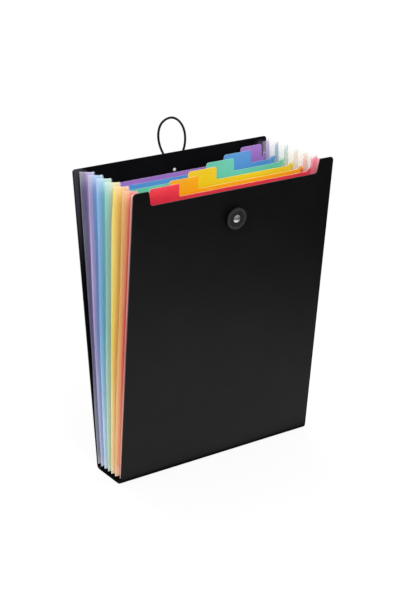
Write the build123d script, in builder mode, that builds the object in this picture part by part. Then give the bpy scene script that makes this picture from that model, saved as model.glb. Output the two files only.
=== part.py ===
from build123d import *

import os
from math import atan2, cos, radians, sin, sqrt, tan

os.makedirs("parts", exist_ok=True)

# Expanding file standing open on its base: millimetres, +Z up, -Y towards the front.
# The origin is the middle of the base, on the surface that the file stands on.

# Black covers, bent at the bottom towards the base panel
cover_width = 240.0
cover_height = 320.0
cover_thickness = 1.0
cover_lean = 6.15
base_depth = 47.6
front_bend_radius = 6.0
rear_bend_radius = 3.2
bend_lift = 0.25
crease_gap = 0.6

# The front cover stands a little higher, with a low edge between its two ears
front_rise = 3.2
cutout_depth = 15.3
ear_width = 17.4
ear_slant = 2.7
ear_corner_radius = 4.0
ear_inner_radius = 1.8
cutout_corner_radius = 3.0
rear_corner_radius = 3.0

# Tinted dividers, front to rear, with one tab each stepped from left to right
divider_colours = ["red", "orange", "yellow", "teal", "blue", "purple"]
divider_thickness = 0.5
divider_drop = 17.1
front_divider_rise = 2.1
cover_overhang = 12.5
tab_height = 13.4
tab_left_margin = 16.2
tab_right_margin = 5.8
tab_pitch = 33.1
tab_overlap = 1.3
tab_left_radius = 3.4
tab_right_radius = 1.8
tab_foot_radius = 2.0
wing_width = 4.0
wing_drop = 1.6
wing_corner_radius = 1.2
wing_foot_radius = 6.0

# Film pleats at both sides of every pocket
film_thickness = 0.3
pleat_drop = 0.8
pleat_flank_width = 11.8
pleat_foot_height = 6.6
weld_width = 3.0

# Black pleated strip that closes the pockets at the bottom
fold_height = 8.0
fold_edge_height = 10.0
outer_fold_floor_height = 4.0
fold_film_thickness = 0.4
fold_inset = 16.0
fold_side_clearance = 0.8

# Round button on the front cover, turning on its rivet
button_drop = 45.1
button_radius = 11.3
button_hub_radius = 5.0
button_hub_height = 2.0
button_flange_thickness = 1.8
button_rim_width = 1.7
button_rim_height = 0.6
button_rim_slope = 0.9
button_edge_radius = 0.5
button_rivet_head_radius = 4.1
button_rivet_head_height = 1.6
button_shank_radius = 2.0
button_tail_radius = 3.2
button_tail_height = 0.6
backing_radius = 6.0
backing_thickness = 0.8

# Elastic loop on the rear cover, both ends held in a clamp under a rivet
loop_rivet_drop = 18.5
cord_diameter = 2.4
cord_standoff = 2.0
clamp_radius = 8.0
clamp_thickness = 4.0
clamp_edge_radius = 1.0
loop_rivet_head_radius = 3.4
loop_rivet_head_height = 1.2
loop_shank_radius = 1.3
loop_tail_radius = 1.8
loop_tail_height = 0.7

# Cord route across the rear cover: sideways and upwards from the loop rivet
cord_route = [
    (3.6, 4.6),
    (11.2, 12.0),
    (17.4, 24.0),
    (17.9, 38.0),
    (13.6, 48.6),
    (5.4, 54.2),
    (-4.6, 53.6),
    (-12.6, 47.8),
    (-15.8, 37.4),
    (-13.9, 24.4),
    (-7.6, 12.4),
    (-3.6, 4.6),
]
arc_run_share = 0.45

# Clearances: moving pieces, welded or clinched pieces, shafts in holes, and the overrun of cuts
moving_clearance = 0.3
weld_gap = 0.05
running_fit = 0.06
cut_overrun = 1.0
notch_fillet_share = 0.45

# Sheets are counted from the middle pocket: negative towards the front, positive towards the rear
pocket_count = len(divider_colours) + 1
cover_index = pocket_count / 2
lean_step = cover_lean / cover_index
cover_offset = base_depth / 2 - cover_thickness / 2 / cos(radians(cover_lean))
sheet_pitch = cover_offset / cover_index


def sheet_lean(index):
    return radians(lean_step * index)


def sheet_y(index, z):
    return sheet_pitch * index + z * tan(sheet_lean(index))


def sheet_plane(index):
    lean = sheet_lean(index)
    return Plane(origin=(0, sheet_y(index, 0), 0), x_dir=(1, 0, 0), z_dir=(0, -cos(lean), sin(lean)))


def sheet_thickness(index):
    return cover_thickness if abs(index) == cover_index else divider_thickness


def axial_plane(face):
    return Plane(origin=face.origin, x_dir=face.x_dir, z_dir=face.x_dir.cross(face.z_dir))


def face_plane(index, x, height, outward):
    sheet = sheet_plane(index)
    origin = sheet.from_local_coords((x, height, outward * sheet_thickness(index) / 2))
    return Plane(origin=origin, x_dir=sheet.x_dir * outward, z_dir=sheet.z_dir * outward)


# Covers: a leaning panel with a round bend that ends at the crease beside the base panel
lean_angle = radians(cover_lean)
half_cover = cover_width / 2
bend_sweep = 90 - cover_lean


def bend_height(radius):
    return (bend_lift + radius - radius * sin(lean_angle)) / cos(lean_angle)


def crease_y(radius):
    return base_depth / 2 + bend_height(radius) * sin(lean_angle) - radius * cos(lean_angle)


def panel_start(radius):
    return bend_height(radius) + cover_thickness / 2 * tan(lean_angle)


def add_bend(side, radius):
    centre = (side * crease_y(radius), bend_lift + radius)
    with BuildSketch(Plane.YZ) as bend_section:
        with BuildLine():
            outside = CenterArc(centre, radius, 270, side * bend_sweep)
            inside = CenterArc(centre, radius - cover_thickness, 270, side * bend_sweep)
            Line(outside @ 0, inside @ 0)
            Line(outside @ 1, inside @ 1)
        make_face()
    extrude(bend_section.sketch, amount=half_cover, both=True)


front_crease_y = crease_y(front_bend_radius)
rear_crease_y = crease_y(rear_bend_radius)
front_panel_start = panel_start(front_bend_radius)
rear_panel_start = panel_start(rear_bend_radius)
front_height = cover_height + front_rise
cutout_floor = front_height - cutout_depth
ear_top = half_cover - ear_width
ear_foot = ear_top - ear_slant
button_height = front_height - button_drop
button_face = face_plane(-cover_index, 0, button_height, 1)
loop_rivet_height = cover_height - loop_rivet_drop
clamp_face = face_plane(cover_index, 0, loop_rivet_height, -1)

with BuildPart() as front_cover:
    with BuildSketch(sheet_plane(-cover_index)):
        with BuildLine():
            FilletPolyline(
                (-half_cover, front_panel_start),
                (half_cover, front_panel_start),
                (half_cover, front_height),
                (ear_top, front_height),
                (ear_foot, cutout_floor),
                (-ear_foot, cutout_floor),
                (-ear_top, front_height),
                (-half_cover, front_height),
                radius=[
                    0,
                    0,
                    ear_corner_radius,
                    ear_inner_radius,
                    cutout_corner_radius,
                    cutout_corner_radius,
                    ear_inner_radius,
                    ear_corner_radius,
                ],
                close=True,
            )
        make_face()
    extrude(amount=cover_thickness / 2, both=True)
    add_bend(-1, front_bend_radius)
    with BuildSketch(button_face):
        Circle(button_shank_radius + running_fit)
    extrude(amount=cover_thickness + cut_overrun, both=True, mode=Mode.SUBTRACT)
front_cover.part.label = "front_cover"
export_step(front_cover.part, "parts/front_cover.step")

with BuildPart() as rear_cover:
    with BuildSketch(sheet_plane(cover_index)):
        with BuildLine():
            FilletPolyline(
                (-half_cover, rear_panel_start),
                (half_cover, rear_panel_start),
                (half_cover, cover_height),
                (-half_cover, cover_height),
                radius=[0, 0, rear_corner_radius, rear_corner_radius],
                close=True,
            )
        make_face()
    extrude(amount=cover_thickness / 2, both=True)
    add_bend(1, rear_bend_radius)
    with BuildSketch(clamp_face):
        Circle(loop_shank_radius + running_fit)
    extrude(amount=cover_thickness + cut_overrun, both=True, mode=Mode.SUBTRACT)
rear_cover.part.label = "rear_cover"
export_step(rear_cover.part, "parts/rear_cover.step")

# Base panel between the two creases
base_front_y = -front_crease_y + crease_gap
base_rear_y = rear_crease_y - crease_gap
with BuildPart() as base_panel:
    with BuildSketch():
        with Locations((0, (base_front_y + base_rear_y) / 2)):
            Rectangle(cover_width, base_rear_y - base_front_y)
    extrude(amount=cover_thickness)
base_panel.part.label = "base_panel"
export_step(base_panel.part, "parts/base_panel.step")

# Pleated strip: a fold under each divider, a valley under each pocket, its ends close to the covers
fold_slope = atan2(fold_height - cover_thickness, sheet_pitch / 2)
fold_rise = fold_film_thickness / cos(fold_slope)
fold_end_y = sheet_y(cover_index, fold_edge_height) - cover_thickness / 2 - fold_side_clearance
fold_line = [(-fold_end_y, fold_edge_height - fold_rise)]
for pocket in range(pocket_count):
    middle = pocket + 0.5 - cover_index
    outermost = pocket in (0, pocket_count - 1)
    valley_z = outer_fold_floor_height if outermost else cover_thickness + weld_gap
    fold_line.append((sheet_y(middle, 0), valley_z))
    if pocket < pocket_count - 1:
        fold_line.append((sheet_y(middle + 0.5, fold_height), fold_height - fold_rise))
fold_line.append((fold_end_y, fold_edge_height - fold_rise))

with BuildPart() as base_gusset:
    with BuildSketch(Plane.YZ):
        with BuildLine():
            upper_line = [(y, z + fold_rise) for y, z in reversed(fold_line)]
            Polyline(*fold_line, *upper_line, close=True)
        make_face()
    extrude(amount=half_cover - fold_inset, both=True)
base_gusset.part.label = "base_gusset"
export_step(base_gusset.part, "parts/base_gusset.step")

# Dividers: each stands on a fold of the pleated strip, with a tab and two narrow side wings at its top
divider_width = cover_width - 2 * cover_overhang
half_divider = divider_width / 2
divider_height = cover_height - divider_drop
wing_top = cover_height - wing_drop
wing_x = half_divider - wing_width
tab_row_left = tab_left_margin - half_divider
tab_row_right = half_divider - tab_right_margin
divider_foot_z = fold_height + moving_clearance

for position, colour in enumerate(divider_colours):
    index = position + 1 - cover_index
    foot = divider_foot_z / cos(sheet_lean(index))
    edge_height = divider_height + (front_divider_rise if position == 0 else 0)
    tab_top = edge_height + tab_height
    tab_left = tab_row_left + position * tab_pitch
    tab_right = min(tab_left + tab_pitch + tab_overlap, tab_row_right)
    left_room = notch_fillet_share * (tab_left + wing_x)
    right_room = notch_fillet_share * (wing_x - tab_right)
    with BuildPart() as divider:
        with BuildSketch(sheet_plane(index)):
            with BuildLine():
                FilletPolyline(
                    (-half_divider, foot),
                    (half_divider, foot),
                    (half_divider, wing_top),
                    (wing_x, wing_top),
                    (wing_x, edge_height),
                    (tab_right, edge_height),
                    (tab_right, tab_top),
                    (tab_left, tab_top),
                    (tab_left, edge_height),
                    (-wing_x, edge_height),
                    (-wing_x, wing_top),
                    (-half_divider, wing_top),
                    radius=[
                        0,
                        0,
                        wing_corner_radius,
                        wing_corner_radius,
                        min(wing_foot_radius, right_room),
                        min(tab_foot_radius, right_room),
                        tab_right_radius,
                        tab_left_radius,
                        min(tab_foot_radius, left_room),
                        min(wing_foot_radius, left_room),
                        wing_corner_radius,
                        wing_corner_radius,
                    ],
                    close=True,
                )
            make_face()
        extrude(amount=divider_thickness / 2, both=True)
    divider.part.label = f"divider_{colour}"
    export_step(divider.part, f"parts/divider_{colour}.step")


# Side pleats: a welded flange on each of the two sheets, and two flanks that meet at a fold outside them
def pleat_outline(front_index, side, z):
    rear_index = front_index + 1
    front_inset = (sheet_thickness(front_index) / 2 + weld_gap) / cos(sheet_lean(front_index))
    rear_inset = (sheet_thickness(rear_index) / 2 + weld_gap) / cos(sheet_lean(rear_index))
    front_y = sheet_y(front_index, z) + front_inset
    rear_y = sheet_y(rear_index, z) - rear_inset
    middle_y = (front_y + rear_y) / 2
    half_gap = (rear_y - front_y) / 2
    pleat_reach = sqrt(pleat_flank_width**2 - half_gap**2)
    weld_x = half_divider - weld_width
    fold_x = half_divider + pleat_reach
    inner_fold_x = fold_x - film_thickness * pleat_flank_width / half_gap
    inner_corner_x = half_divider - film_thickness * (pleat_flank_width - pleat_reach) / half_gap
    outline = [
        (weld_x, front_y),
        (half_divider, front_y),
        (fold_x, middle_y),
        (half_divider, rear_y),
        (weld_x, rear_y),
        (weld_x, rear_y - film_thickness),
        (inner_corner_x, rear_y - film_thickness),
        (inner_fold_x, middle_y),
        (inner_corner_x, front_y + film_thickness),
        (weld_x, front_y + film_thickness),
    ]
    return [(side * x, y) for x, y in outline]


for side_name, side in (("left", -1), ("right", 1)):
    for pocket in range(pocket_count):
        front_index = pocket - cover_index
        top_z = (cover_height - pleat_drop) * cos(sheet_lean(front_index + 0.5))
        with BuildPart() as pleat:
            for z in (pleat_foot_height, top_z):
                with BuildSketch(Plane.XY.offset(z)):
                    with BuildLine():
                        Polyline(*pleat_outline(front_index, side, z), close=True)
                    make_face()
            loft(ruled=True)
        pleat.part.label = f"gusset_{side_name}_{pocket + 1}"
        export_step(pleat.part, f"parts/gusset_{side_name}_{pocket + 1}.step")

# Button: a hub that the loop hooks behind, a flange over it and a dished face with a raised rim
button_seat = moving_clearance
flange_under = button_seat + button_hub_height
dish = flange_under + button_flange_thickness
rim_top = dish + button_rim_height
rim_inside = button_radius - button_rim_width
button_bore = button_shank_radius + running_fit

with BuildPart() as button_disc:
    with BuildSketch(axial_plane(button_face)):
        with BuildLine():
            FilletPolyline(
                (button_bore, button_seat),
                (button_hub_radius, button_seat),
                (button_hub_radius, flange_under),
                (button_radius, flange_under),
                (button_radius, rim_top),
                (rim_inside, rim_top),
                (rim_inside - button_rim_slope, dish),
                (button_bore, dish),
                radius=[
                    0,
                    0,
                    button_edge_radius,
                    button_edge_radius,
                    button_edge_radius,
                    button_edge_radius,
                    button_edge_radius,
                    0,
                ],
                close=True,
            )
        make_face()
    revolve(axis=Axis(button_face.origin, button_face.z_dir))
button_disc.part.label = "button_disc"
export_step(button_disc.part, "parts/button_disc.step")

backing_top = cover_thickness + weld_gap
with BuildPart() as button_backing:
    with BuildSketch(button_face.offset(-backing_top)):
        Circle(backing_radius)
        Circle(button_shank_radius + running_fit, mode=Mode.SUBTRACT)
    extrude(amount=-backing_thickness)
button_backing.part.label = "button_backing"
export_step(button_backing.part, "parts/button_backing.step")


def rivet_profile(head_seat, head_radius, head_height, shank_radius, tail_seat, tail_radius, tail_height):
    with BuildLine() as outline:
        Polyline(
            (0, -tail_seat - tail_height),
            (0, head_seat + head_height),
        )
        TangentArc((0, head_seat + head_height), (head_radius, head_seat), tangent=(1, 0))
        Polyline(
            (head_radius, head_seat),
            (shank_radius, head_seat),
            (shank_radius, -tail_seat),
            (tail_radius, -tail_seat),
        )
        TangentArc((0, -tail_seat - tail_height), (tail_radius, -tail_seat), tangent=(1, 0))
    make_face(outline.edges())


with BuildPart() as button_rivet:
    with BuildSketch(axial_plane(button_face)):
        rivet_profile(
            dish + running_fit,
            button_rivet_head_radius,
            button_rivet_head_height,
            button_shank_radius,
            backing_top + backing_thickness + weld_gap,
            button_tail_radius,
            button_tail_height,
        )
    revolve(axis=Axis(button_face.origin, button_face.z_dir))
button_rivet.part.label = "button_rivet"
export_step(button_rivet.part, "parts/button_rivet.step")

# Elastic loop: a round cord in a plane just behind the rear cover, from the clamp up and back to it
cord_plane = Plane(
    origin=clamp_face.from_local_coords((0, 0, cord_standoff)),
    x_dir=-clamp_face.x_dir,
    z_dir=-clamp_face.z_dir,
)
route_points = [Vector(x, up) for x, up in cord_route]
cord_radii = []
for before, corner, after in zip(route_points, route_points[1:], route_points[2:]):
    half_turn = radians((corner - before).get_angle(after - corner)) / 2
    shorter_run = min((corner - before).length, (after - corner).length)
    cord_radii.append(arc_run_share * shorter_run / tan(half_turn))

with BuildPart() as elastic_loop:
    with BuildLine(cord_plane) as cord_line:
        FilletPolyline(*cord_route, radius=cord_radii)
    with BuildSketch(Plane(origin=cord_line.line @ 0, z_dir=cord_line.line % 0)):
        Circle(cord_diameter / 2)
    sweep(path=cord_line.line)
elastic_loop.part.label = "elastic_loop"
export_step(elastic_loop.part, "parts/elastic_loop.step")

with BuildPart() as loop_clamp:
    with BuildSketch(clamp_face.offset(weld_gap)):
        Circle(clamp_radius)
        Circle(loop_shank_radius + running_fit, mode=Mode.SUBTRACT)
    extrude(amount=clamp_thickness)
    clamp_rims = loop_clamp.edges().filter_by(GeomType.CIRCLE).group_by(SortBy.RADIUS)[-1]
    fillet(clamp_rims.sort_by(Axis(clamp_face.origin, clamp_face.z_dir))[-1], radius=clamp_edge_radius)
    for end, neighbour in ((0, 1), (-1, -2)):
        socket_start = cord_plane.from_local_coords(route_points[end])
        socket_end = cord_plane.from_local_coords(route_points[neighbour])
        socket_axis = (socket_end - socket_start).normalized()
        with BuildSketch(Plane(origin=socket_start - socket_axis * weld_gap, z_dir=socket_axis)):
            Circle(cord_diameter / 2 + running_fit)
        extrude(amount=2 * clamp_radius, mode=Mode.SUBTRACT)
loop_clamp.part.label = "loop_clamp"
export_step(loop_clamp.part, "parts/loop_clamp.step")

with BuildPart() as loop_rivet:
    with BuildSketch(axial_plane(clamp_face)):
        rivet_profile(
            clamp_thickness + 2 * weld_gap,
            loop_rivet_head_radius,
            loop_rivet_head_height,
            loop_shank_radius,
            cover_thickness + weld_gap,
            loop_tail_radius,
            loop_tail_height,
        )
    revolve(axis=Axis(clamp_face.origin, clamp_face.z_dir))
loop_rivet.part.label = "loop_rivet"
export_step(loop_rivet.part, "parts/loop_rivet.step")

cord_length = cord_line.wire().length
cord_volume = Circle(cord_diameter / 2, mode=Mode.PRIVATE).area * cord_length
print("cord radii:", [round(radius, 1) for radius in cord_radii])
print(f"cord length {cord_length:.1f}, volume {elastic_loop.part.volume:.1f} of {cord_volume:.1f}")
print(f"last tab ends at {tab_right:.2f}, base panel from {base_front_y:.2f} to {base_rear_y:.2f}")
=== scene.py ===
from math import atan, cos, pi, radians, sin, sqrt

import bpy
import numpy as np
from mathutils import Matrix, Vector, noise


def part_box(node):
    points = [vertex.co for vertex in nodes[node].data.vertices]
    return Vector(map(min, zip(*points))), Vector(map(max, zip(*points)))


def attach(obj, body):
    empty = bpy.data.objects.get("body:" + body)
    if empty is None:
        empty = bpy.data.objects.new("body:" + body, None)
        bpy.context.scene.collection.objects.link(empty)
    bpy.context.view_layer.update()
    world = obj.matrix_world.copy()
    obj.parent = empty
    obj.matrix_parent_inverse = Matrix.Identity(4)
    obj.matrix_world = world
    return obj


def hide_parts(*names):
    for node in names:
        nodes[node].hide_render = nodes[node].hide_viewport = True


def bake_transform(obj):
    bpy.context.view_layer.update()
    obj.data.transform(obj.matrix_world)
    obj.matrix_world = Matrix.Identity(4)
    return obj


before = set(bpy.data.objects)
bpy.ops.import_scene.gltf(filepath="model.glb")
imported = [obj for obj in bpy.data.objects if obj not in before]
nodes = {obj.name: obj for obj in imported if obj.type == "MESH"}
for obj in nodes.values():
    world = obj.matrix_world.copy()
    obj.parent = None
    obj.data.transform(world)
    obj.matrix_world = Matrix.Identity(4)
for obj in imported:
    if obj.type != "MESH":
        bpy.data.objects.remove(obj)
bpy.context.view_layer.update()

scene = bpy.context.scene
scene.view_settings.view_transform = "Standard"
scene.cycles.transparent_max_bounces = 32  # many layers of thin film lie one behind the other
mm = 0.001


# the camera stands where the photograph was taken from
viewSettings = {
    "azimuth": -34.13,  # degrees, 0 looks straight at the front cover
    "elevation": 21.03,
    "distance": 1.5219,  # metres from the target
    "target": (-0.00320, 0.0020, 0.17113),
    "lens": 87.23,
    "sensor": 36.0,
}


def makeCamera(s):
    azimuth = radians(s["azimuth"])
    elevation = radians(s["elevation"])
    back = Vector((sin(azimuth) * cos(elevation), -cos(azimuth) * cos(elevation), sin(elevation)))
    lens = bpy.data.cameras.new("photoCamera")
    lens.lens = s["lens"]
    lens.sensor_width = s["sensor"]
    lens.dof.use_dof = False
    camera = bpy.data.objects.new("photoCamera", lens)
    camera.location = Vector(s["target"]) + back * s["distance"]
    camera.rotation_euler = back.to_track_quat("Z", "Y").to_euler()
    scene.collection.objects.link(camera)
    scene.camera = camera


makeCamera(viewSettings)
print("camera set")


# the eight leaning sheets, read from the model, front to rear
dividerNames = ["red", "orange", "yellow", "teal", "blue", "purple"]
sheetNodes = ["front_cover", *(f"divider_{name}" for name in dividerNames), "rear_cover"]
sheetReading = {"bendTop": 7.0 * mm}  # a cover is flat above its bottom bend


def readSheet(nodeName, s):
    points = np.array([v.co for v in nodes[nodeName].data.vertices])
    flat = points[points[:, 2] > s["bendTop"]]
    slope, foot = np.polyfit(flat[:, 2], flat[:, 1], 1)
    spread = np.ptp(flat[:, 1] - foot - slope * flat[:, 2])
    lean = atan(slope)
    return {"foot": foot, "slope": slope, "lean": lean, "thickness": spread * cos(lean)}


sheets = [readSheet(name, sheetReading) for name in sheetNodes]
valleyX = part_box(sheetNodes[1])[1].x  # out to a divider's side edge, where the film leaves it
baseLow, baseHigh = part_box("base_panel")


def sheetY(sheet, z):
    return sheet["foot"] + sheet["slope"] * z


def onSheet(sheet, x, height, out):  # x across, height up the sheet, out in front of its middle
    lean = sheet["lean"]
    y = sheet["foot"] + height * sin(lean) - out * cos(lean)
    return Vector((x, y, height * cos(lean) + out * sin(lean)))


def linkMesh(name, points, faces, flatFaces=()):
    mesh = bpy.data.meshes.new(name)
    mesh.from_pydata([tuple(p) for p in points], [], list(faces) + list(flatFaces))
    smooth = [True] * len(faces) + [False] * len(flatFaces)
    mesh.polygons.foreach_set("use_smooth", smooth)
    mesh.update()
    piece = bpy.data.objects.new(name, mesh)
    scene.collection.objects.link(piece)
    return piece


# elastic loop: a round braided cord that rises from the clamp behind the rear cover
loopSettings = {
    "route": [
        (3.6, 4.6),  # millimetres across and up the rear cover, from the rivet
        (11.2, 12.0),
        (17.4, 24.0),
        (17.9, 38.0),
        (12.8, 48.6),
        (4.2, 54.4),
        (-5.4, 53.4),
        (-12.6, 47.8),
        (-15.8, 37.4),
        (-13.9, 24.4),
        (-7.6, 12.4),
        (-3.6, 4.6),
    ],
    "rivetHeight": 301.5 * mm,  # up the rear cover
    "standoff": 2.0 * mm,  # from the cover's outer face to the cord's middle
    "diameter": 2.4 * mm,
    "length": 123.9 * mm,
    "steps": 32,
    "sides": 20,
    "strands": 5,
    "braidPitch": 4.6 * mm,
    "relief": 0.05,  # share of the radius
    "bend": (318.0 * mm, 330.0 * mm),  # up the cover, where the loop gives when it is folded
}


def traceRoute(s, sheet, out):  # points along a smooth line that the route's points pull into shape
    line = bpy.data.curves.new("loopLine", "CURVE")
    line.dimensions = "3D"
    line.resolution_u = s["steps"]
    spline = line.splines.new("NURBS")
    spline.points.add(len(s["route"]) - 1)
    for point, (x, up) in zip(spline.points, s["route"]):
        point.co = (*onSheet(sheet, x * mm, s["rivetHeight"] + up * mm, out), 1.0)
    spline.order_u = 3
    spline.use_endpoint_u = True
    guide = bpy.data.objects.new("loopLine", line)
    scene.collection.objects.link(guide)
    traced = bpy.data.meshes.new_from_object(guide)
    path = [v.co.copy() for v in traced.vertices]
    bpy.data.objects.remove(guide)
    bpy.data.curves.remove(line)
    bpy.data.meshes.remove(traced)
    return path


def braidTube(s, path, facing):
    sides = s["sides"]
    points = []
    run = 0.0
    for k, p in enumerate(path):
        before = path[max(k - 1, 0)]
        after = path[min(k + 1, len(path) - 1)]
        run += (p - before).length
        along = (after - before).normalized()
        across = along.cross(facing).normalized()
        turn = 2 * pi * run / s["braidPitch"]
        for side in range(sides):
            angle = 2 * pi * side / sides
            weave = cos(s["strands"] * angle + turn) * cos(s["strands"] * angle - turn)
            reach = s["diameter"] / 2 * (1 + s["relief"] * weave)
            points.append(p + across * (reach * cos(angle)) + facing * (reach * sin(angle)))
    faces = []
    for k in range(len(path) - 1):
        for side in range(sides):
            a = k * sides + side
            b = k * sides + (side + 1) % sides
            faces.append((a, b, b + sides, a + sides))
    last = len(points) - sides
    caps = [tuple(reversed(range(sides))), tuple(range(last, last + sides))]
    return linkMesh("elastic_loop_braid", points, faces, caps)


def makeLoop(s):
    rear = sheets[-1]
    out = -(rear["thickness"] / 2 + s["standoff"])
    path = traceRoute(s, rear, out)
    loop = braidTube(s, path, Vector((0, cos(rear["lean"]), -sin(rear["lean"]))))
    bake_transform(loop)
    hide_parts("elastic_loop")
    return loop


elasticLoop = makeLoop(loopSettings)
print("elastic loop made")


# side pleats: each pocket has a folded film on both sides, in two flanks that meet at the fold
pleatSettings = {
    "film": 0.3 * mm,
    "flankWidth": 11.8 * mm,  # from a valley to the fold, along the film
    # by pocket, front to rear: millimetres that a fold stands out low down,
    # then the metres up where that starts and where it is whole
    "sag": [
        (0.0, 0.225, 0.105),
        (1.6, 0.225, 0.105),
        (2.0, 0.320, 0.270),
        (1.9, 0.250, 0.115),
        (1.9, 0.260, 0.125),
        (1.9, 0.310, 0.140),
        (1.7, 0.130, 0.050),
    ],
    "rightOut": [2.2, 2.6, 3.0, 2.8, 2.0, 1.3, 1.0],  # millimetres more, for a right fold at the top
    "rightRise": (0.20, 0.30),  # metres up, where that starts and where it is whole
    "weldGap": 0.05 * mm,  # between the film and the sheet it is welded to
    "valleyRound": 0.9 * mm,
    "foldRound": 1.3 * mm,
    "foldGap": 0.02 * mm,  # between the two flanks
    "bendSteps": 4,
    "flankSteps": 6,
    "rows": 44,
    "ripple": 0.32 * mm,
    "rippleRun": 0.055,  # metres from one wave to the next
    "rippleTurn": 0.7,  # how far a wave changes across a flank
    "topWander": 0.35 * mm,  # how far the cut top strays from a straight line
    "wanderRun": 1.5,  # waves across a flank
    "wanderLayer": 9.0,  # its own layer of the noise
    "seedSteps": {"pocket": 3.7, "side": 1.3, "front": 0.0, "rear": 0.6},  # so that no two ripple alike
    "middlePocket": 4,  # both of its dividers turn on the base
    "usualPocket": 5,  # the film's colours are measured by its fold
}
sideSigns = {"left": -1, "right": 1}
flankParts = ("front", "rear")


def bezier(a, b, c, t):
    return tuple((1 - t) ** 2 * p + 2 * t * (1 - t) * q + t * t * r for p, q, r in zip(a, b, c))


def flankProfile(s, weld, apex):  # (x, share of the way to the fold) from the weld out to the fold
    tip = apex + s["foldRound"] / 2  # the sharp fold that the rounding cuts back
    reach = tip - valleyX
    bend = s["valleyRound"]
    fold = s["foldRound"]
    steps = s["bendSteps"]
    profile = [(weld, 0.0), ((weld + valleyX - bend) / 2, 0.0)]
    entry = ((valleyX - bend, 0.0), (valleyX, 0.0), (valleyX + bend, bend / reach))
    profile += [bezier(*entry, k / steps) for k in range(steps + 1)]
    first = valleyX + bend
    last = tip - fold
    for k in range(1, s["flankSteps"]):
        x = first + (last - first) * k / s["flankSteps"]
        profile.append((x, (x - valleyX) / reach))
    crown = ((last, 1 - fold / reach), (tip, 1.0), (last, 1 + fold / reach))
    profile += [bezier(*crown, 0.5 * k / steps) for k in range(steps + 1)]  # its half of the fold
    return profile


def edgeRing(rows, columns):  # a grid's outer points, in order around it
    ring = list(range(columns))
    ring += [r * columns + columns - 1 for r in range(1, rows)]
    ring += [(rows - 1) * columns + c for c in range(columns - 2, -1, -1)]
    ring += [r * columns for r in range(rows - 2, 0, -1)]
    return ring


def thickSheet(name, grid, thickness, endNormal=None):  # a closed sheet around rows and columns of points
    grid = np.array(grid, float)
    rows, columns = grid.shape[:2]
    normal = np.cross(np.gradient(grid, axis=1), np.gradient(grid, axis=0))
    normal /= np.linalg.norm(normal, axis=2, keepdims=True)
    if endNormal is not None:  # the last column's thickness lies along this
        facing = np.sign((normal[:, -1] @ np.array(endNormal)).mean())
        normal[:, -1] = np.array(endNormal) * facing
    layers = (grid + normal * thickness / 2, grid - normal * thickness / 2)
    points = np.concatenate([layer.reshape(-1, 3) for layer in layers])
    back = rows * columns  # where the second layer's points start
    faces = []
    for r in range(rows - 1):
        for c in range(columns - 1):
            a = r * columns + c
            quad = (a, a + 1, a + 1 + columns, a + columns)
            faces.append(quad)
            faces.append(tuple(back + k for k in reversed(quad)))
    ring = edgeRing(rows, columns)
    pairs = list(zip(ring, ring[1:] + ring[:1]))
    rim = [(b, a, a + back, b + back) for a, b in pairs]
    piece = linkMesh(name, points, faces, rim)
    edgeOf = {frozenset(e.vertices): e for e in piece.data.edges}
    for a, b in pairs:
        edgeOf[frozenset((a, b))].use_edge_sharp = True
        edgeOf[frozenset((a + back, b + back))].use_edge_sharp = True
    return piece


def filmY(s, pocket, z):  # the film's two welded faces, front and rear
    front, rear = sheets[pocket - 1], sheets[pocket]
    standing = s["weldGap"] + s["film"] / 2
    yFront = sheetY(front, z) + (front["thickness"] / 2 + standing) / cos(front["lean"])
    yRear = sheetY(rear, z) - (rear["thickness"] / 2 + standing) / cos(rear["lean"])
    return yFront, yRear


def easeShare(value, start, whole):
    share = min(max((value - start) / (whole - start), 0.0), 1.0)
    return share * share * (3 - 2 * share)


def foldReach(s, side, pocket, z):  # the film keeps its width, so a wider pocket draws its fold in
    yFront, yRear = filmY(s, pocket, z)
    sag, start, whole = s["sag"][pocket - 1]
    out = sag * easeShare(z, start, whole)
    if side == "right":
        out += s["rightOut"][pocket - 1] * easeShare(z, *s["rightRise"])
    return sqrt(s["flankWidth"] ** 2 - ((yRear - yFront) / 2) ** 2) + out * mm


def flankGrid(s, side, pocket, part, low, high):
    sign = sideSigns[side]
    weld = min(abs(low.x), abs(high.x))
    steps = s["seedSteps"]
    seed = pocket * steps["pocket"] + sign * steps["side"] + steps[part]
    grid = []
    for r in range(s["rows"] + 1):
        share = r / s["rows"]
        reach = foldReach(s, side, pocket, low.z + (high.z - low.z) * share)
        row = []
        for x, toFold in flankProfile(s, weld, valleyX + reach):
            outShare = min(max((x - valleyX) / reach, 0.0), 1.0)
            wander = noise.noise(Vector((outShare * s["wanderRun"], seed, s["wanderLayer"])))
            top = high.z - s["topWander"] + wander * s["topWander"] * outShare
            z = low.z + (top - low.z) * share
            yFront, yRear = filmY(s, pocket, z)
            own, other = (yFront, yRear) if part == "front" else (yRear, yFront)
            gap = s["foldGap"] / 2 * (1 if own > other else -1)
            wave = noise.noise(Vector((seed, z / s["rippleRun"], s["rippleTurn"] * outShare)))
            y = own + (other - own) / 2 * toFold + gap + s["ripple"] * wave * sin(pi * outShare)
            row.append((sign * x, y, z))
        grid.append(row)
    return grid


def makeFlank(s, side, pocket, part):
    node = f"gusset_{side}_{pocket}"
    low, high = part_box(node)
    grid = flankGrid(s, side, pocket, part, low, high)
    piece = thickSheet(f"pleat_{side}_{pocket}_{part}", grid, s["film"], endNormal=(1, 0, 0))
    middleZ = (low.z + high.z) / 2
    foot, middle, top = (foldReach(s, side, pocket, z) for z in (low.z, middleZ, high.z))
    if pocket == s["middlePocket"]:
        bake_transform(piece)
    else:
        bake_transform(piece)
    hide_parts(node)
    return piece


pleats = {}
for side in sideSigns:
    for pocket in range(1, len(sheets)):
        for part in flankParts:
            pleats[side, pocket, part] = makeFlank(pleatSettings, side, pocket, part)
print(f"{len(pleats)} pleat flanks made")


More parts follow.
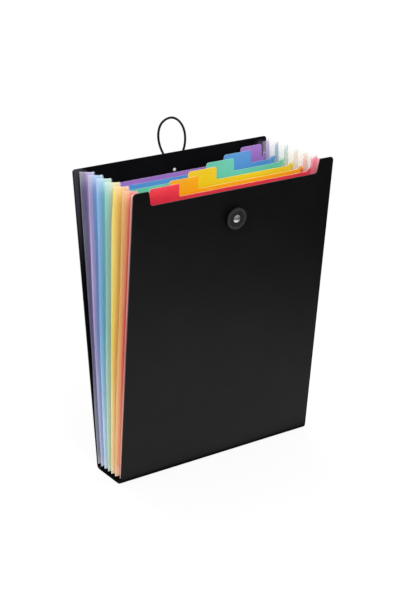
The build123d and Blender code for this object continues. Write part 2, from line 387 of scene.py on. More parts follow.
# folded strip that closes the bottom, under the dividers
stripSettings = {
    "film": 0.4 * mm,
    "foldTop": 8.0 * mm,
    "valley": 1.25 * mm,  # middle of the film over the base panel
    "outerValley": 4.0 * mm,
    "edgeTop": 9.6 * mm,
    "edgeClear": 0.95 * mm,  # from a cover's inner face to the film's middle
    "cornerRound": 1.1 * mm,
    "bendSteps": 5,
    "rows": 60,
    "ripple": 0.10 * mm,
    "rippleRun": (0.03, 0.01),  # metres from one wave to the next, along and across
    "rippleLayer": 3.0,  # its own layer of the noise
}


# (y, z) from the front cover to the rear one, down in each pocket and up under each divider
def stripCorners(s):
    front, rear = sheets[0], sheets[-1]
    frontY = sheetY(front, s["edgeTop"]) + (front["thickness"] / 2) / cos(front["lean"]) + s["edgeClear"]
    rearY = sheetY(rear, s["edgeTop"]) - (rear["thickness"] / 2) / cos(rear["lean"]) - s["edgeClear"]
    lastPocket = len(sheets) - 2
    corners = [(frontY, s["edgeTop"])]
    for k in range(lastPocket + 1):
        floor = s["outerValley"] if k in (0, lastPocket) else s["valley"]
        middle = (sheetY(sheets[k], floor) + sheetY(sheets[k + 1], floor)) / 2
        corners.append((middle, floor))
        if k < lastPocket:
            corners.append((sheetY(sheets[k + 1], s["foldTop"]), s["foldTop"]))
    corners.append((rearY, s["edgeTop"]))
    return corners


def roundCorners(s, corners):
    profile = [corners[0]]
    for before, here, after in zip(corners, corners[1:], corners[2:]):
        here = Vector(here)
        entry = here + (Vector(before) - here).normalized() * s["cornerRound"]
        leave = here + (Vector(after) - here).normalized() * s["cornerRound"]
        for k in range(s["bendSteps"] + 1):
            profile.append(bezier(entry, here, leave, k / s["bendSteps"]))
    profile.append(corners[-1])
    return profile


def makeStrip(s):
    low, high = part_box("base_gusset")
    profile = roundCorners(s, stripCorners(s))
    runX, runY = s["rippleRun"]
    grid = []
    for r in range(s["rows"] + 1):
        x = low.x + (high.x - low.x) * r / s["rows"]
        row = []
        for y, z in profile:
            wave = noise.noise(Vector((x / runX, y / runY, s["rippleLayer"])))
            lift = max(z - s["valley"], 0) / (s["foldTop"] - s["valley"])
            row.append((x, y + s["ripple"] * wave * lift, z))
        grid.append(row)
    strip = thickSheet("base_fold_strip", grid, s["film"])
    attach(strip, "base")
    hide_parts("base_gusset")
    return strip


foldStrip = makeStrip(stripSettings)
print("bottom strip made")


# thin webs inside the two creases, so that no light comes up between the base and a cover
webSettings = {
    "film": 0.2 * mm,
    "clear": 0.2 * mm,  # over the base panel
    "inward": 1.6 * mm,  # from the base panel's edge
    "outward": 1.5 * mm,
    "rise": 1.75 * mm,  # so that a cover's foot has room when it closes
    "ends": 0.5 * mm,  # short of the base panel's two ends
    "bendSteps": 8,
    "rows": 40,
}


def makeWeb(s, name, edge, outwards):
    level = baseHigh.z + s["clear"]
    inner = (edge - outwards * s["inward"], level)
    outer = (edge + outwards * s["outward"], baseHigh.z + s["rise"])
    profile = [bezier(inner, (edge, level), outer, k / s["bendSteps"]) for k in range(s["bendSteps"] + 1)]
    first, last = baseLow.x + s["ends"], baseHigh.x - s["ends"]
    grid = []
    for r in range(s["rows"] + 1):
        x = first + (last - first) * r / s["rows"]
        grid.append([(x, y, z) for y, z in profile])
    web = thickSheet(name, grid, s["film"])
    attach(web, "base")
    return web


creaseWebs = [
    makeWeb(webSettings, "front_crease_web", baseLow.y, -1),
    makeWeb(webSettings, "rear_crease_web", baseHigh.y, 1),
]
print("crease webs made")


# small node helpers
white = (1, 1, 1, 1)
black = (0, 0, 0, 1)
mixInputs = {"share": 0, "first": 6, "second": 7}  # where a Mix node takes colours
mixOutput = 2
bumpReach = 0.12 * mm  # height of a bump at full strength


def tone(red, green, blue):  # a screen colour (sRGB) as the linear value that a socket takes
    shares = [v / 255 for v in (red, green, blue)]
    linear = [((c + 0.055) / 1.055) ** 2.4 if c > 0.04045 else c / 12.92 for c in shares]
    return (*linear, 1.0)


def addNode(tree, kind, **values):
    node = tree.nodes.new(kind)
    for key, value in values.items():
        setattr(node, key, value)
    return node


def feed(tree, socket, value):
    if isinstance(value, bpy.types.NodeSocket):
        tree.links.new(value, socket)
    else:
        socket.default_value = value


def calc(tree, operation, *values):
    node = addNode(tree, "ShaderNodeMath", operation=operation)
    for socket, value in zip(node.inputs, values):
        feed(tree, socket, value)
    return node.outputs[0]


def times(tree, value, *factors):
    for factor in factors:
        value = calc(tree, "MULTIPLY", value, factor)
    return value


def restOf(tree, share):  # what is left of one
    return calc(tree, "SUBTRACT", 1.0, share)


def ramp(tree, value, low, high, lowTo=0.0, highTo=1.0, kind="SMOOTHSTEP"):
    node = addNode(tree, "ShaderNodeMapRange", interpolation_type=kind)
    labels = ("Value", "From Min", "From Max", "To Min", "To Max")
    for label, entry in zip(labels, (value, low, high, lowTo, highTo)):
        feed(tree, node.inputs[label], entry)
    return node.outputs["Result"]


def blendTone(tree, share, first, second):
    node = addNode(tree, "ShaderNodeMix", data_type="RGBA")
    feed(tree, node.inputs[mixInputs["share"]], share)
    feed(tree, node.inputs[mixInputs["first"]], first)
    feed(tree, node.inputs[mixInputs["second"]], second)
    return node.outputs[mixOutput]


def speckle(tree, vector, scale, detail):
    node = addNode(tree, "ShaderNodeTexNoise")
    feed(tree, node.inputs["Vector"], vector)
    feed(tree, node.inputs["Scale"], scale)
    feed(tree, node.inputs["Detail"], detail)
    return node.outputs["Fac"]


def objectPlace(tree):
    return addNode(tree, "ShaderNodeTexCoord").outputs["Object"]


def axes(tree, vector):
    split = addNode(tree, "ShaderNodeSeparateXYZ")
    feed(tree, split.inputs[0], vector)
    return split.outputs


def normalAxes(tree, kind):
    return axes(tree, addNode(tree, "ShaderNodeNewGeometry").outputs[kind])


def stretched(tree, vector, scales):
    node = addNode(tree, "ShaderNodeVectorMath", operation="MULTIPLY")
    feed(tree, node.inputs[0], vector)
    feed(tree, node.inputs[1], scales)
    return node.outputs[0]


def newGroup(name, takes, gives):  # a socket whose name ends in Colour holds a colour, any other a number
    tree = bpy.data.node_groups.new(name, "ShaderNodeTree")
    for way, labels in (("INPUT", takes), ("OUTPUT", gives)):
        for label in labels:
            kind = "NodeSocketColor" if label.endswith("Colour") else "NodeSocketFloat"
            tree.interface.new_socket(name=label, in_out=way, socket_type=kind)
    return tree, addNode(tree, "NodeGroupInput").outputs, addNode(tree, "NodeGroupOutput").inputs


def place(tree, group, values):
    node = addNode(tree, "ShaderNodeGroup", node_tree=group)
    for label, value in values.items():
        feed(tree, node.inputs[label], value)
    return node.outputs


def newMaterial(name):
    material = bpy.data.materials.new(name)
    material.use_nodes = True
    return material, material.node_tree, material.node_tree.nodes["Principled BSDF"].inputs


def setFinish(tree, shader, s, colour, roughness, height):
    bump = addNode(tree, "ShaderNodeBump")
    feed(tree, bump.inputs["Strength"], s["bump"])
    feed(tree, bump.inputs["Distance"], bumpReach)
    feed(tree, bump.inputs["Height"], height)
    feed(tree, shader["Base Color"], colour)
    feed(tree, shader["Roughness"], roughness)
    feed(tree, shader["Normal"], bump.outputs["Normal"])
    shader["Specular IOR Level"].default_value = s["specular"]


def dress(nodeName, material):
    mesh = nodes[nodeName].data
    mesh.materials.clear()
    mesh.materials.append(material)


# the fine pebble of extruded plastic, with a slow drift of colour and gloss
grainSettings = {
    "pebbleDetail": 2.0,
    "driftScale": 14.0,
    "driftDetail": 3.0,
    "toneFrom": (0.3, 0.7),  # levels of the drift between which the colour changes
    "glossFrom": (0.25, 0.75),
}


def makeGrain(s):
    tree, given, result = newGroup(
        "sheetGrain",
        ["Colour", "Drift Colour", "Grain Scale", "Drift Scale", "Gloss Low", "Gloss High"],
        ["Colour", "Roughness", "Height"],
    )
    where = objectPlace(tree)
    drift = speckle(tree, where, given["Drift Scale"], s["driftDetail"])
    share = ramp(tree, drift, *s["toneFrom"])
    roughness = ramp(tree, drift, *s["glossFrom"], given["Gloss Low"], given["Gloss High"])
    feed(tree, result["Colour"], blendTone(tree, share, given["Colour"], given["Drift Colour"]))
    feed(tree, result["Roughness"], roughness)
    feed(tree, result["Height"], speckle(tree, where, given["Grain Scale"], s["pebbleDetail"]))
    return tree


grain = makeGrain(grainSettings)


def placeGrain(tree, s, colour=white, drift=white):
    low, high = s["gloss"]
    values = {"Colour": colour, "Drift Colour": drift, "Gloss Low": low, "Gloss High": high}
    values["Grain Scale"] = s["grain"]
    values["Drift Scale"] = s.get("driftScale", grainSettings["driftScale"])
    return place(tree, grain, values)


# a mask of the cut edges of a sheet, whose faces look forwards and backwards
edgeSettings = {
    "flat": (0.65, 0.9),  # how squarely a face looks that way, for an edge and for a flat
    "foot": -1.0,  # metres up, where the mask starts: below the floor, unless a sheet says more
    "footFade": 0.05,
}


def makeCutEdge(s):
    tree, given, result = newGroup("cutEdge", ["Foot"], ["Mask"])
    facing = calc(tree, "ABSOLUTE", normalAxes(tree, "True Normal")["Y"])
    edge = ramp(tree, facing, *s["flat"], 1.0, 0.0)
    up = axes(tree, objectPlace(tree))["Z"]
    above = ramp(tree, up, given["Foot"], calc(tree, "ADD", given["Foot"], s["footFade"]))
    feed(tree, result["Mask"], times(tree, edge, above))
    return tree


cutEdge = makeCutEdge(edgeSettings)


def edgeMask(tree, s):
    return place(tree, cutEdge, {"Foot": s.get("edgeFoot", edgeSettings["foot"])})["Mask"]


# a mask of the faces that look forwards (side -1) or backwards (side 1)
faceSettings = {"squareFrom": (0.80, 0.97)}  # how squarely, where the mask starts and where it is whole


def makeOuterFace(s):
    tree, given, result = newGroup("outerFace", ["Side", "Amount"], ["Mask"])
    facing = times(tree, normalAxes(tree, "True Normal")["Y"], given["Side"])
    feed(tree, result["Mask"], times(tree, ramp(tree, facing, *s["squareFrom"]), given["Amount"]))
    return tree


outerFace = makeOuterFace(faceSettings)


# a mask of a border along the left edge, stronger towards the top, for a painted sheen
borderSettings = {"endFade": 1.5 * mm}


def makeBorder(s):
    tree, given, result = newGroup("sideBorder", ["From", "To", "End", "Foot", "Top", "Amount"], ["Mask"])
    where = axes(tree, objectPlace(tree))
    across = times(tree, where["X"], -1.0)
    start = ramp(tree, across, given["From"], given["To"])
    near = calc(tree, "SUBTRACT", given["End"], s["endFade"])
    end = ramp(tree, across, near, given["End"], 1.0, 0.0)
    up = ramp(tree, where["Z"], given["Foot"], given["Top"])
    feed(tree, result["Mask"], times(tree, start, end, up, given["Amount"]))
    return tree


sideBorder = makeBorder(borderSettings)


# sparse pale dust, thicker on what looks upwards
dustSettings = {
    "tone": tone(150, 150, 152),
    "speckScale": 620.0,
    "speckDetail": 1.0,
    "speckFrom": (0.66, 0.74),  # levels of the noise where a speck starts and where it is whole
    "speckShare": 0.8,
    "hazeScale": 22.0,
    "hazeDetail": 4.0,
    "hazeFrom": (0.35, 0.8),
    "hazeShare": 0.35,
    "upFrom": (-0.2, 1.0),  # how far a face looks upwards
    "upShare": (0.4, 1.0),  # how much of the dust stays on it
}


def makeDust(s):
    tree, given, result = newGroup("fineDust", ["Colour", "Dust Colour", "Amount"], ["Colour"])
    where = objectPlace(tree)
    specks = ramp(tree, speckle(tree, where, s["speckScale"], s["speckDetail"]), *s["speckFrom"])
    haze = ramp(tree, speckle(tree, where, s["hazeScale"], s["hazeDetail"]), *s["hazeFrom"])
    both = calc(tree, "ADD", times(tree, specks, s["speckShare"]), times(tree, haze, s["hazeShare"]))
    upward = ramp(tree, normalAxes(tree, "Normal")["Z"], *s["upFrom"], *s["upShare"])
    share = times(tree, both, upward, given["Amount"])
    feed(tree, result["Colour"], blendTone(tree, share, given["Colour"], given["Dust Colour"]))
    return tree


fineDust = makeDust(dustSettings)


def dusted(tree, s, colour):
    pale = s.get("dustTone", dustSettings["tone"])
    return place(tree, fineDust, {"Colour": colour, "Dust Colour": pale, "Amount": s["dust"]})["Colour"]


print("shared node groups made")


# black cover stock, the bottom strip and the clamp
coverStock = {
    "edgeFoot": 0.04,  # metres up, where the painted highlight on the cut edges starts
    "gloss": (0.60, 0.70),
    "grain": 1500.0,
    "bump": 0.16,
    "specular": 0.03,
    "dust": 0.02,
    "coat": 0.27,  # a soft sheen on the outer face
    "coatGloss": 0.32,
}
# each edge tone is a painted highlight on the cut edges
blackSettings = {
    "front": {
        **coverStock,
        "colour": tone(8, 8, 9),
        "drift": tone(10, 10, 11),
        "edge": tone(62, 62, 66),
        "side": -1.0,
    },
    "rear": {
        **coverStock,
        "colour": tone(8, 8, 10),
        "drift": tone(11, 11, 13),
        "edge": tone(84, 84, 90),
        "side": 1.0,
        # the border and its tone paint a sheen, lighter grey along the left edge of the inner face
        "border": {"From": 0.106, "To": 0.112, "End": 0.1198, "Foot": 0.20, "Top": 0.29, "Amount": 0.9},
        "borderSheenTone": tone(56, 56, 64),
    },
    "strip": {
        "colour": tone(16, 16, 17),
        "drift": tone(22, 22, 23),
        "edge": tone(40, 40, 42),
        "gloss": (0.36, 0.48),
        "grain": 1100.0,
        "bump": 0.18,
        "specular": 0.3,
        "dust": 0.08,
    },
    "clamp": {
        "colour": tone(18, 18, 19),
        "drift": tone(24, 24, 25),
        "edge": tone(36, 36, 38),
        "gloss": (0.34, 0.46),
        "grain": 2200.0,
        "bump": 0.16,
        "specular": 0.35,
        "dust": 0.06,
    },
}


def makeBlack(name, s):
    material, tree, shader = newMaterial(name)
    skin = placeGrain(tree, s, s["colour"], s["drift"])
    # the cut edges take the paler edge tone: a painted highlight
    colour = blendTone(tree, edgeMask(tree, s), skin["Colour"], s["edge"])
    # a painted sheen along the rear cover's left border
    if "border" in s:  # on the inner face alone
        inside = place(tree, outerFace, {"Side": -s["side"], "Amount": 1.0})["Mask"]
        paintedSheen = times(tree, place(tree, sideBorder, s["border"])["Mask"], inside)
        colour = blendTone(tree, paintedSheen, colour, s["borderSheenTone"])
    setFinish(tree, shader, s, dusted(tree, s, colour), skin["Roughness"], skin["Height"])
    if "coat" in s:
        outside = place(tree, outerFace, {"Side": s["side"], "Amount": s["coat"]})["Mask"]
        feed(tree, shader["Coat Weight"], outside)
        shader["Coat Roughness"].default_value = s["coatGloss"]
    return material


dress("front_cover", makeBlack("frontBlack", blackSettings["front"]))
rearBlack = makeBlack("rearBlack", blackSettings["rear"])
dress("rear_cover", rearBlack)
dress("base_panel", rearBlack)
foldBlack = makeBlack("foldBlack", blackSettings["strip"])
for piece in (foldStrip, *creaseWebs):
    piece.data.materials.append(foldBlack)
dress("loop_clamp", makeBlack("clampBlack", blackSettings["clamp"]))
print("black stock dressed")


# coloured dividers: cloudy sheet, pale on the narrow wings, with a painted highlight where it is cut
dividerSettings = {
    "red": {
        "sheet": tone(238, 55, 78),
        "drift": tone(230, 49, 72),
        "wing": tone(252, 240, 240),
        "lift": -2.1 * mm,  # this divider stands higher than the others
    },
    "orange": {
        "sheet": tone(240, 178, 28),
        "drift": tone(236, 170, 24),
        "wing": tone(253, 244, 234),
    },
    "yellow": {
        "sheet": tone(234, 208, 26),
        "drift": tone(228, 202, 22),
        "wing": tone(253, 250, 238),
    },
    "teal": {
        "sheet": tone(108, 205, 184),
        "drift": tone(98, 197, 174),
        "wing": tone(238, 249, 246),
    },
    "blue": {
        "sheet": tone(90, 155, 217),
        "drift": tone(80, 145, 211),
        "wing": tone(238, 243, 250),
    },
    "purple": {
        "sheet": tone(171, 125, 201),
        "drift": tone(161, 115, 195),
        "wing": tone(240, 236, 250),
        "wingBody": 0.06,
    },
}
dividerFinish = {
    "body": 0.80,  # share of light that each face stops
    "wingBody": 0.20,
    "gloss": (0.34, 0.44),
    "grain": 1250.0,
    "bump": 0.12,
    "specular": 0.4,
    "edgeHighlight": 0.4,  # how far a cut edge goes to white, a painted highlight
    "wingFrom": (0.3036, 0.3072),  # metres up, where the colour leaves the wing
    "wingSide": (0.1020, 0.1036),  # metres out
}


def makeWingFade(s):
    tree, given, result = newGroup("wingFade", ["Lift"], ["Mask"])
    where = axes(tree, objectPlace(tree))
    up = ramp(tree, calc(tree, "ADD", where["Z"], given["Lift"]), *s["wingFrom"])
    out = ramp(tree, calc(tree, "ABSOLUTE", where["X"]), *s["wingSide"])
    feed(tree, result["Mask"], times(tree, up, out))
    return tree


wingFade = makeWingFade(dividerFinish)


def makeDivider(name, s, finish):
    material, tree, shader = newMaterial(f"divider{name.capitalize()}")
    skin = placeGrain(tree, finish, s["sheet"], s["drift"])
    # the cut edges go towards white: a painted highlight
    rim = times(tree, edgeMask(tree, s), finish["edgeHighlight"])
    edged = blendTone(tree, rim, skin["Colour"], white)
    wing = place(tree, wingFade, {"Lift": s.get("lift", 0.0)})["Mask"]
    colour = blendTone(tree, wing, edged, s["wing"])
    setFinish(tree, shader, finish, colour, skin["Roughness"], skin["Height"])
    drop = times(tree, wing, finish["body"] - s.get("wingBody", finish["wingBody"]))
    feed(tree, shader["Alpha"], calc(tree, "SUBTRACT", finish["body"], drop))
    return material


for name in dividerNames:
    dress(f"divider_{name}", makeDivider(name, dividerSettings[name], dividerFinish))
print("dividers dressed")


# tinted film of the side pleats, one finish for each pocket, front to rear
# the valley, middle and fold colours paint light and shade across each flank
filmSettings = [
    {
        "slot": "film_pink",
        "valley": tone(226, 100, 112),
        "middle": tone(236, 150, 146),
        "fold": tone(246, 180, 178),
        "low": tone(238, 208, 196),
        "right": tone(214, 130, 146),
        "pale": 0.25,
        "rearBody": (0.6, 0.0),
        "rightLoss": 0.12,
        "rightGlow": 0.30,
    },
    {
        "slot": "film_red",
        "valley": tone(240, 102, 92),
        "middle": tone(240, 170, 118),
        "fold": tone(232, 184, 106),
        "low": tone(216, 174, 136),
        "right": tone(206, 84, 104),
        "pale": 0.12,
    },
    {
        "slot": "film_orange",
        "valley": tone(250, 206, 96),
        "middle": tone(240, 200, 108),
        "fold": tone(236, 214, 86),
        "low": tone(224, 206, 166),
        "right": tone(230, 220, 212),
        "pale": 0.12,
    },
    {
        "slot": "film_yellow",
        "valley": tone(226, 226, 150),
        "middle": tone(170, 212, 198),
        "fold": tone(139, 206, 206),
        "low": tone(190, 206, 176),
        "right": tone(232, 222, 208),
        "pale": 0.25,
    },
    {
        "slot": "film_teal",
        "valley": tone(140, 222, 224),
        "middle": tone(130, 184, 216),
        "fold": tone(132, 178, 232),
        "low": tone(196, 214, 230),
        "right": tone(182, 206, 194),
        "pale": 0.28,
    },
    {
        "slot": "film_blue",
        "valley": tone(128, 194, 246),
        "middle": tone(140, 156, 208),
        "fold": tone(167, 151, 197),
        "low": tone(172, 182, 202),
        "right": tone(156, 166, 188),
        "pale": 0.28,
    },
    {
        "slot": "film_purple",
        "valley": tone(190, 168, 222),
        "middle": tone(118, 103, 146),
        "fold": tone(104, 104, 126),
        "low": tone(142, 148, 160),
        "right": tone(196, 174, 212),
        "pale": 0.20,
        "rearBody": (0.28, 1.0),
    },
]
filmFinish = {
    "frontBody": (0.72, 0.05),  # share of light that each face stops, and what of that the top loses
    "rearBody": (0.28, 0.65),
    "rightLoss": 1.0,  # how far the right side's top goes clear
    "rightGlow": 0.0,  # a painted glow, for light that comes through it there
    "acrossFrom": (0.68, 0.26),  # share of the way out where the colours start, low and high
    "acrossRise": (0.03, 0.31),  # metres up, of those two
    "across": (0.05, 0.50, 0.95),  # shares of the rest, of the valley, middle and fold colours
    "lowFrom": (0.020, 0.185),  # metres up, where the low colour is whole and where it ends
    "lowShare": 0.78,
    "lowGlow": 0.16,  # a painted glow, for light that comes through the film low down
    "footFrom": (0.007, 0.022),  # metres up, where the film's foot whitens
    "footPale": 0.28,
    "streakScale": (260.0, 260.0, 7.0),  # long upright streaks
    "streakDetail": 3.0,
    "streakFrom": (0.52, 0.85),  # levels of the noise where a streak starts and where it is whole
    "streakPale": 0.12,
    "crease": (0.97, 1.02),  # share of the way out, where the fold whitens
    "creasePale": 0.15,
    "topFrom": (0.296, 0.319),  # metres up, where the film pales and clears
    "rimFrom": (0.3150, 0.3188),  # metres up, where the film's cut top whitens
    "rimPale": 0.28,
    "sideFade": (-0.01, 0.01),  # metres across, from the left side to the right
    "rightShare": 0.85,  # how far the top of the right side takes the right colour, painted light for the light from behind
    "rightFrom": (0.262, 0.298),
    "weldClear": 0.9,  # how much of its body the welded flange loses there, above the dividers
    "weldFrom": (0.300, 0.305),
    "weldEdge": (0.03, 0.14),  # share of the way out, where the film's colour starts there
    "rightFade": (0.3115, 0.3200),  # metres up, where all of that side goes clear
    "gloss": (0.26, 0.38),
    "grain": 900.0,
    "bump": 0.10,
    "specular": 0.35,
}


def filmOut(tree, where, pleat):  # share of the way from the valley out to the fold
    usual = pleat["usualPocket"]
    ends = [filmY(pleat, usual, z) for z in (0.0, 1.0)]
    foot, top = ((rear - front) / 2 for front, rear in ends)
    gap = calc(tree, "MULTIPLY_ADD", where["Z"], top - foot, foot)
    square = calc(tree, "SUBTRACT", pleat["flankWidth"] ** 2, times(tree, gap, gap))
    most, start, whole = pleat["sag"][usual - 1]
    sag = ramp(tree, where["Z"], whole, start, most * mm, 0.0)
    past = calc(tree, "SUBTRACT", calc(tree, "ABSOLUTE", where["X"]), valleyX)
    return calc(tree, "DIVIDE", past, calc(tree, "ADD", calc(tree, "SQRT", square), sag))


def filmAcross(tree, s, given, up, out):  # the colours from valley to fold, which paint light and shade across the flank and the colours that show through the film
    first = ramp(tree, up, *s["acrossRise"], *s["acrossFrom"], kind="LINEAR")
    across = calc(tree, "DIVIDE", calc(tree, "SUBTRACT", out, first), restOf(tree, first))
    valley, middle, fold = s["across"]
    inner = ramp(tree, across, valley, middle)
    outer = ramp(tree, across, middle, fold)
    tint = blendTone(tree, inner, given["Valley Colour"], given["Middle Colour"])
    return blendTone(tree, outer, tint, given["Fold Colour"])


def makeFilmGroup(s, pleat):
    colours = ["Valley Colour", "Middle Colour", "Fold Colour", "Low Colour", "Right Colour"]
    amounts = ["Body", "Top Loss", "Top Pale", "Right Loss", "Right Glow"]
    tree, given, result = newGroup(
        "filmTint", colours + amounts, ["Colour", "Glow Colour", "Opacity", "Height"]
    )
    spot = objectPlace(tree)
    where = axes(tree, spot)
    up = where["Z"]
    out = filmOut(tree, where, pleat)
    tint = filmAcross(tree, s, given, up, out)
    # low down the film takes a paler colour and glows: painted light, for the light that comes through it
    low = ramp(tree, up, *s["lowFrom"], 1.0, 0.0)
    tint = blendTone(tree, times(tree, low, s["lowShare"]), tint, given["Low Colour"])
    glow = blendTone(tree, times(tree, low, s["lowGlow"]), black, tint)
    streak = speckle(tree, stretched(tree, spot, s["streakScale"]), 1.0, s["streakDetail"])
    top = ramp(tree, up, *s["topFrom"])
    paleShares = [
        ramp(tree, up, *s["footFrom"], s["footPale"], 0.0),
        ramp(tree, streak, *s["streakFrom"], 0.0, s["streakPale"]),
        ramp(tree, out, *s["crease"], 0.0, s["creasePale"]),
        times(tree, top, given["Top Pale"]),
        ramp(tree, up, *s["rimFrom"], 0.0, s["rimPale"]),
    ]
    for share in paleShares:
        tint = blendTone(tree, share, tint, white)
    # the right side's top takes the right colour and its glow: painted light, for the light that comes
    # through it from behind
    onRight = ramp(tree, where["X"], *s["sideFade"])
    own = times(tree, onRight, ramp(tree, up, *s["rightFrom"], 0.0, s["rightShare"]))
    tint = blendTone(tree, own, tint, given["Right Colour"])
    glow = blendTone(tree, times(tree, own, given["Right Glow"]), glow, tint)
    weld = ramp(tree, out, *s["weldEdge"], s["weldClear"], 0.0)
    weld = times(tree, weld, ramp(tree, up, *s["weldFrom"]))
    clear = calc(tree, "MAXIMUM", weld, ramp(tree, up, *s["rightFade"]))
    clear = times(tree, clear, given["Right Loss"], onRight)
    loss = times(tree, top, given["Top Loss"])
    feed(tree, result["Colour"], tint)
    feed(tree, result["Glow Colour"], glow)
    feed(tree, result["Opacity"], times(tree, given["Body"], restOf(tree, loss), restOf(tree, clear)))
    feed(tree, result["Height"], streak)
    return tree


filmTint = makeFilmGroup(filmFinish, pleatSettings)


def makeFilm(s, part):
    s = {**filmFinish, **s}  # a pocket's own values come before the shared ones
    material, tree, shader = newMaterial(f"{s['slot']}_{part}")
    body, loss = s[f"{part}Body"]
    values = {
        "Valley Colour": s["valley"],
        "Middle Colour": s["middle"],
        "Fold Colour": s["fold"],
        "Low Colour": s["low"],
        "Right Colour": s["right"],
        "Body": body,
        "Top Loss": loss,
        "Top Pale": s["pale"],
        "Right Loss": s["rightLoss"],
        "Right Glow": s["rightGlow"],
    }
    film = place(tree, filmTint, values)
    skin = placeGrain(tree, s)
    height = calc(tree, "ADD", skin["Height"], film["Height"])
    setFinish(tree, shader, s, film["Colour"], skin["Roughness"], height)
    feed(tree, shader["Alpha"], film["Opacity"])
    feed(tree, shader["Emission Color"], film["Glow Colour"])
    shader["Emission Strength"].default_value = 1.0
    return material


for pocket, settings in enumerate(filmSettings, start=1):
    for part in flankParts:
        film = makeFilm(settings, part)
        for side in sideSigns:
            piece = pleats[side, pocket, part]
            piece.data.materials.append(film)
print("pleats dressed")


# button, rivets and the elastic's yarn
buttonSettings = {
    "colour": tone(28, 28, 27),
    "drift": tone(24, 24, 23),
    "driftScale": 160.0,
    "rim": tone(37, 37, 36),
    "rimRadius": 9.4 * mm,
    "rimFade": 1.2 * mm,
    "seat": tone(16, 16, 16),  # the darker middle around the rivet, a painted shade
    "seatRadius": 4.4 * mm,
    "seatFade": 1.6 * mm,
    "gloss": (0.34, 0.46),
    "grain": 2600.0,
    "bump": 0.14,
    "specular": 0.25,
    "metallic": 0.0,
    "dust": 0.08,
    "dustTone": tone(170, 170, 170),
}
rivetSettings = {
    "colour": tone(240, 240, 240),
    "drift": tone(222, 222, 224),
    "driftScale": 160.0,
    "gloss": (0.34, 0.44),
    "grain": 1800.0,
    "bump": 0.05,
    "specular": 0.5,
    "metallic": 1.0,
}
loopRivetSettings = {**rivetSettings, "metallic": 0.3}  # shows as a pale dot on the black cover
yarnSettings = {
    "colour": tone(20, 20, 21),
    "drift": tone(34, 34, 36),
    "driftScale": 160.0,
    "gloss": (0.72, 0.88),
    "grain": 3200.0,
    "bump": 0.5,
    "specular": 0.2,
    "metallic": 0.0,
}


def makeRing(s):  # a round face's seat, field and rim, by the distance from its middle, with painted shade in the seat
    takes = ["Colour", "Rim Colour", "Seat Colour", "Height"]
    tree, given, result = newGroup("ringTone", takes, ["Colour"])
    where = axes(tree, objectPlace(tree))
    up = calc(tree, "SUBTRACT", where["Z"], given["Height"])
    squares = calc(tree, "ADD", times(tree, up, up), times(tree, where["X"], where["X"]))
    away = calc(tree, "SQRT", squares)
    # painted shade in the seat around the rivet
    seat = ramp(tree, away, s["seatRadius"], s["seatRadius"] + s["seatFade"])
    rim = ramp(tree, away, s["rimRadius"] - s["rimFade"], s["rimRadius"])
    colour = blendTone(tree, seat, given["Seat Colour"], given["Colour"])
    feed(tree, result["Colour"], blendTone(tree, rim, colour, given["Rim Colour"]))
    return tree


ringTone = makeRing(buttonSettings)


def makePlain(name, s):
    material, tree, shader = newMaterial(name)
    skin = placeGrain(tree, s, s["colour"], s["drift"])
    colour = skin["Colour"]
    if "rim" in s:
        low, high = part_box("button_disc")
        values = {"Colour": colour, "Rim Colour": s["rim"], "Seat Colour": s["seat"]}
        values["Height"] = (low.z + high.z) / 2
        colour = place(tree, ringTone, values)["Colour"]
    if "dust" in s:
        colour = dusted(tree, s, colour)
    setFinish(tree, shader, s, colour, skin["Roughness"], skin["Height"])
    shader["Metallic"].default_value = s["metallic"]
    return material


buttonGrey = makePlain("buttonGrey", buttonSettings)
dress("button_disc", buttonGrey)
dress("button_backing", buttonGrey)
dress("button_rivet", makePlain("rivetMetal", rivetSettings))
dress("loop_rivet", makePlain("loopRivetMetal", loopRivetSettings))
elasticLoop.data.materials.append(makePlain("elasticYarn", yarnSettings))
print("button, rivets and elastic dressed")


# plain pale floor and soft studio light
studioSettings = {
    "ambient": 0.72,  # world light on the object
    "room": 0.34,  # how bright the room in front of the object is in reflections
    "roomSide": (-0.10, 0.35),  # how far to the rear a reflection looks, for the room and for plain white
    "floorHalf": 4.0,  # metres from the middle to a side
    "floorTone": (0.86, 0.86, 0.86, 1),
    "floorShown": (0.88, 1.0),  # share of plain white that the camera sees, near and far
    "floorSpread": (0.25, 0.9),  # metres from the middle, of those two
    "mirrorLevel": (1.0, 0.02),  # how bright the floor is in reflections, near and far
    "mirrorSpread": (0.18, 0.58),  # metres from the middle, of those two
    "contact": (0.0100, 0.0165),  # metres from the base panel, where the folder's own shade ends
    "lamps": [
        {"name": "keyLamp", "place": (-0.5, -2.3, 1.9), "size": 1.4, "power": 50.0},
        {"name": "fillLamp", "place": (1.8, -1.2, 1.2), "size": 1.6, "power": 20.0},
        {"name": "topLamp", "place": (0.2, 0.9, 2.2), "size": 1.4, "power": 24.0},
    ],
    "aim": (0.0, 0.0, 0.18),
}


def makeWorld(s):
    world = bpy.data.worlds.new("studioWorld")
    scene.world = world
    world.use_nodes = True
    tree = world.node_tree
    ray = addNode(tree, "ShaderNodeLightPath").outputs
    towards = axes(tree, addNode(tree, "ShaderNodeTexCoord").outputs["Generated"])
    mirrored = ramp(tree, towards["Y"], *s["roomSide"], s["room"], 1.0)
    direct = calc(tree, "MAXIMUM", ray["Is Camera Ray"], ray["Is Transmission Ray"])
    strength = calc(tree, "MULTIPLY_ADD", direct, 1 - s["ambient"], s["ambient"])
    change = calc(tree, "SUBTRACT", mirrored, strength)
    strength = calc(tree, "MULTIPLY_ADD", change, ray["Is Glossy Ray"], strength)
    feed(tree, tree.nodes["Background"].inputs["Color"], white)
    feed(tree, tree.nodes["Background"].inputs["Strength"], strength)


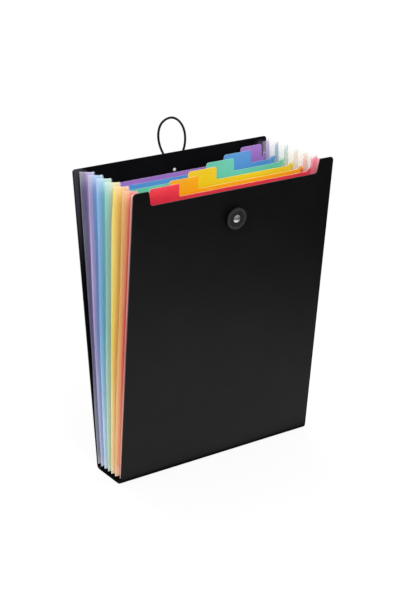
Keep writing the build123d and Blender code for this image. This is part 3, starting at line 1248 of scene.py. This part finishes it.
def openFloor(tree, s, spot):  # a mask of the floor outside the folder's own shade
    where = axes(tree, spot)
    beside = calc(tree, "SUBTRACT", calc(tree, "ABSOLUTE", where["X"]), baseHigh.x)
    forward = calc(tree, "SUBTRACT", where["Y"], (baseLow.y + baseHigh.y) / 2)
    ahead = calc(tree, "SUBTRACT", calc(tree, "ABSOLUTE", forward), (baseHigh.y - baseLow.y) / 2)
    return ramp(tree, calc(tree, "MAXIMUM", beside, ahead), *s["contact"])


def makeFloorFinish(s):
    material = bpy.data.materials.new("paleFloor")
    material.use_nodes = True
    tree = material.node_tree
    tree.nodes.remove(tree.nodes["Principled BSDF"])
    spot = objectPlace(tree)
    away = addNode(tree, "ShaderNodeVectorMath", operation="LENGTH")
    feed(tree, away.inputs[0], spot)
    distance = away.outputs["Value"]
    ray = addNode(tree, "ShaderNodeLightPath").outputs
    shown = ramp(tree, distance, *s["floorSpread"], *s["floorShown"])
    direct = calc(tree, "MAXIMUM", ray["Is Camera Ray"], ray["Is Transmission Ray"])
    share = calc(tree, "MAXIMUM", times(tree, direct, shown), ray["Is Glossy Ray"])
    mirror = ramp(tree, distance, *s["mirrorSpread"], *s["mirrorLevel"])
    mirror = times(tree, mirror, openFloor(tree, s, spot))
    dim = times(tree, ray["Is Glossy Ray"], restOf(tree, mirror))
    matte = addNode(tree, "ShaderNodeBsdfDiffuse")
    feed(tree, matte.inputs["Color"], s["floorTone"])
    glow = addNode(tree, "ShaderNodeEmission")
    feed(tree, glow.inputs["Strength"], restOf(tree, dim))
    both = addNode(tree, "ShaderNodeMixShader")
    feed(tree, both.inputs[0], share)
    feed(tree, both.inputs[1], matte.outputs[0])
    feed(tree, both.inputs[2], glow.outputs[0])
    feed(tree, tree.nodes["Material Output"].inputs["Surface"], both.outputs[0])
    return material


def makeFloor(s):
    half = s["floorHalf"]
    corners = [(-half, -half, 0), (half, -half, 0), (half, half, 0), (-half, half, 0)]
    floor = linkMesh("studioFloor", corners, [(0, 1, 2, 3)])
    floor.data.materials.append(makeFloorFinish(s))


def makeLamp(lamp, target):
    light = bpy.data.lights.new(lamp["name"], "AREA")
    light.shape = "DISK"
    light.size = lamp["size"]
    light.energy = lamp["power"]
    holder = bpy.data.objects.new(lamp["name"], light)
    holder.location = lamp["place"]
    aim = Vector(lamp["place"]) - Vector(target)
    holder.rotation_euler = aim.to_track_quat("Z", "Y").to_euler()
    holder.visible_glossy = False
    scene.collection.objects.link(holder)


makeWorld(studioSettings)
makeFloor(studioSettings)
for lamp in studioSettings["lamps"]:
    makeLamp(lamp, studioSettings["aim"])
print("studio set")
